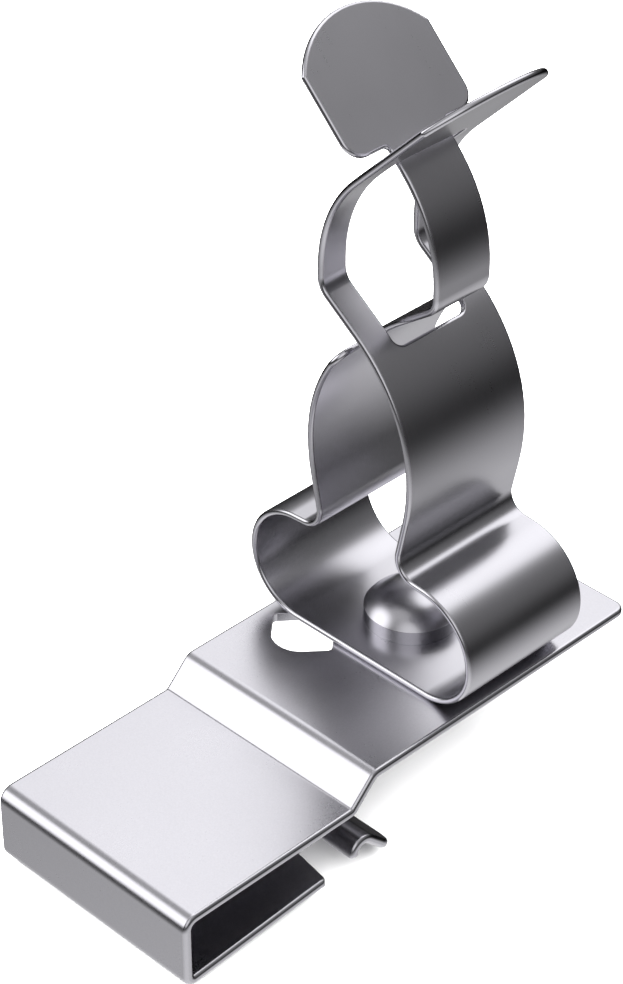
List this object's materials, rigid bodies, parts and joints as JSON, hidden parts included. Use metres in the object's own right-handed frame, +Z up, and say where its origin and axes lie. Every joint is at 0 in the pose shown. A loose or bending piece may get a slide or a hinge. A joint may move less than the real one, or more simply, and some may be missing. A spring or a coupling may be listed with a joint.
{
  "type": "cable bundle clip",
  "caption": "Riveted spring-steel clip: a folded jaw grips a flange edge, and a sprung ring with crossed finger tabs holds a cable bundle.",
  "frame": {"origin": "where the edge of the gripped flange stops against the end wall, at the underside of the seat plate, in the middle of the clip's width", "axes": "+X out of the jaw towards the platform, +Y across the clip, +Z up from the jaw to the finger tabs"},
  "size_m": [0.0604, 0.0292, 0.0748],
  "materials": {
    "flange_steel": "smooth bright spring steel with a very fine satin grain and rounded sheared edges",
    "strip_steel": "smooth bright spring steel strip with a very fine satin grain and rounded edges",
    "rivet_steel": "turned and headed bright steel"
  },
  "bodies": {
    "root": {"flange_clip": "flange_steel", "cable_clip": "strip_steel", "rivet": "rivet_steel"}
  },
  "joints": []
}
